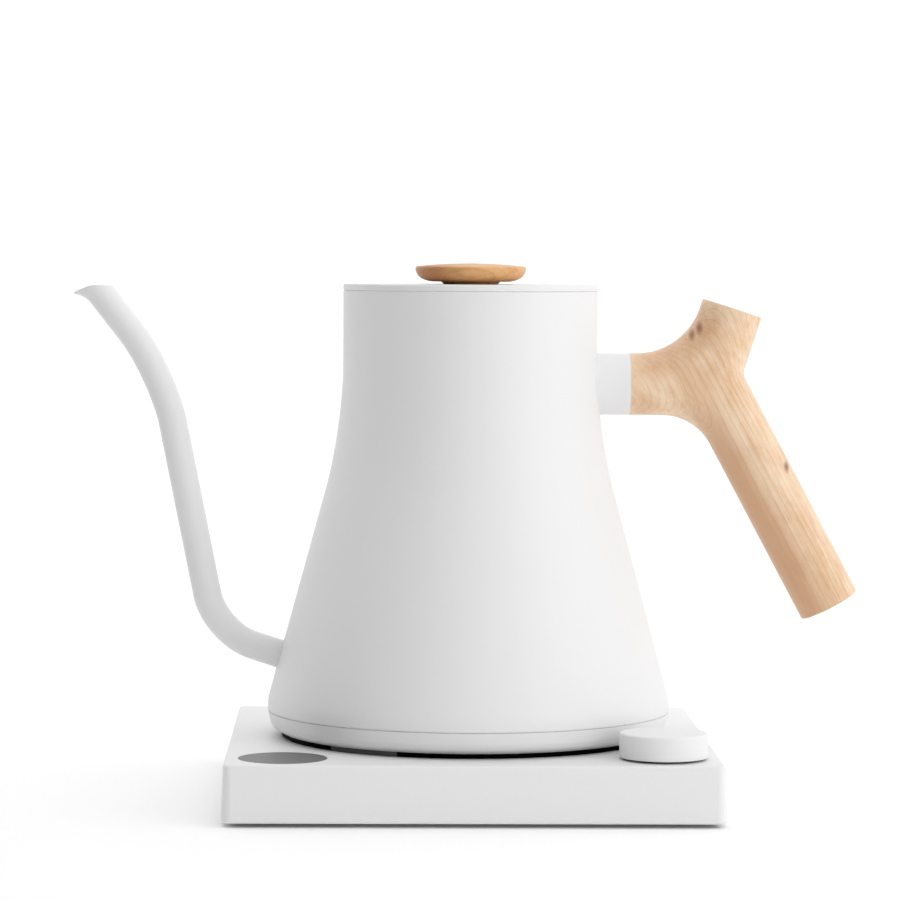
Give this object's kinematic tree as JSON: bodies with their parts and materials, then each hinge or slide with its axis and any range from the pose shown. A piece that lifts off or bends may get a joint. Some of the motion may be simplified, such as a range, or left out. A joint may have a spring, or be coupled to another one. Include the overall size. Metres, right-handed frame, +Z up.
{
  "type": "electric gooseneck kettle",
  "caption": "Gooseneck pour-over kettle with wooden handle and lid knob, lifting off a square powered base with a press-and-turn dial and round display window.",
  "frame": {"origin": "centre of the base, on the surface the feet stand on", "axes": "+Z up along the kettle's axis, -X towards the spout, +X towards the handle, -Y towards the dial and display"},
  "size_m": [0.2879, 0.1771, 0.1958],
  "materials": {
    "enamel_white": "matt powder coat over steel",
    "stainless": "brushed stainless steel",
    "maple": "oiled pale maple",
    "black_polymer": "fine matt moulding",
    "white_polymer": "fine satin moulding",
    "dark_polymer": "plain moulding",
    "rubber": "soft matt",
    "silicone": "translucent silicone",
    "smoked_window": "smoked clear window",
    "display_module": "dark display glass",
    "circuit_board": "green solder mask",
    "components": "moulded component cases",
    "brass": "plain turned brass",
    "plated_steel": "zinc plate",
    "aluminium": "cast and brazed"
  },
  "bodies": {
    "base": {"base_housing": "white_polymer", "base_plate": "dark_polymer", "base_feet": "rubber", "base_screws": "plated_steel", "socket_body": "black_polymer", "socket_contacts": "brass", "display_lens": "smoked_window", "display_panel": "display_module", "control_board": "circuit_board", "power_board": "circuit_board", "board_parts": "components", "encoder_body": "plated_steel", "encoder_nut": "plated_steel", "cord_gland": "rubber"},
    "pin": {"connector_pin": "brass"},
    "kettle": {"kettle_body": "enamel_white", "kettle_floor": "stainless", "heat_spreader": "aluminium", "heating_element": "aluminium", "temperature_sensor": "stainless", "thermal_cutout": "plated_steel", "connector_housing": "black_polymer", "connector_rings": "brass", "bottom_band": "enamel_white", "bottom_cover": "black_polymer", "bottom_cover_screws": "plated_steel", "spout": "enamel_white", "handle_collar": "enamel_white", "handle_stud": "plated_steel", "handle_insert": "brass", "handle": "maple"},
    "lid": {"lid_cap": "enamel_white", "lid_liner": "stainless", "lid_seal": "silicone", "lid_knob": "maple", "knob_spacer": "maple", "knob_insert": "brass", "knob_screw": "plated_steel"},
    "plunger": {"encoder_plunger": "dark_polymer"},
    "dial": {"encoder_shaft": "plated_steel", "dial_knob": "white_polymer"}
  },
  "joints": [
    {"name": "kettle_lift", "type": "slide", "parent": "base", "child": "pin", "axis": [0, 0, 1], "range_m": [0, 0.08]},
    {"name": "kettle_turn", "type": "hinge", "parent": "pin", "child": "kettle", "pos_m": [0, 0, 0.03], "axis": [0, 0, 1], "continuous": true},
    {"name": "lid_lift", "type": "slide", "parent": "kettle", "child": "lid", "axis": [0, 0, 1], "range_m": [0, 0.05]},
    {"name": "dial_press", "type": "slide", "parent": "base", "child": "plunger", "axis": [0, 0, -1], "range_m": [0, 0.0005], "stiffness_N_per_m": 1500, "springref_m": -0.001},
    {"name": "dial_turn", "type": "hinge", "parent": "plunger", "child": "dial", "pos_m": [0.06703, -0.06703, 0.02], "axis": [0, 0, 1], "continuous": true}
  ]
}
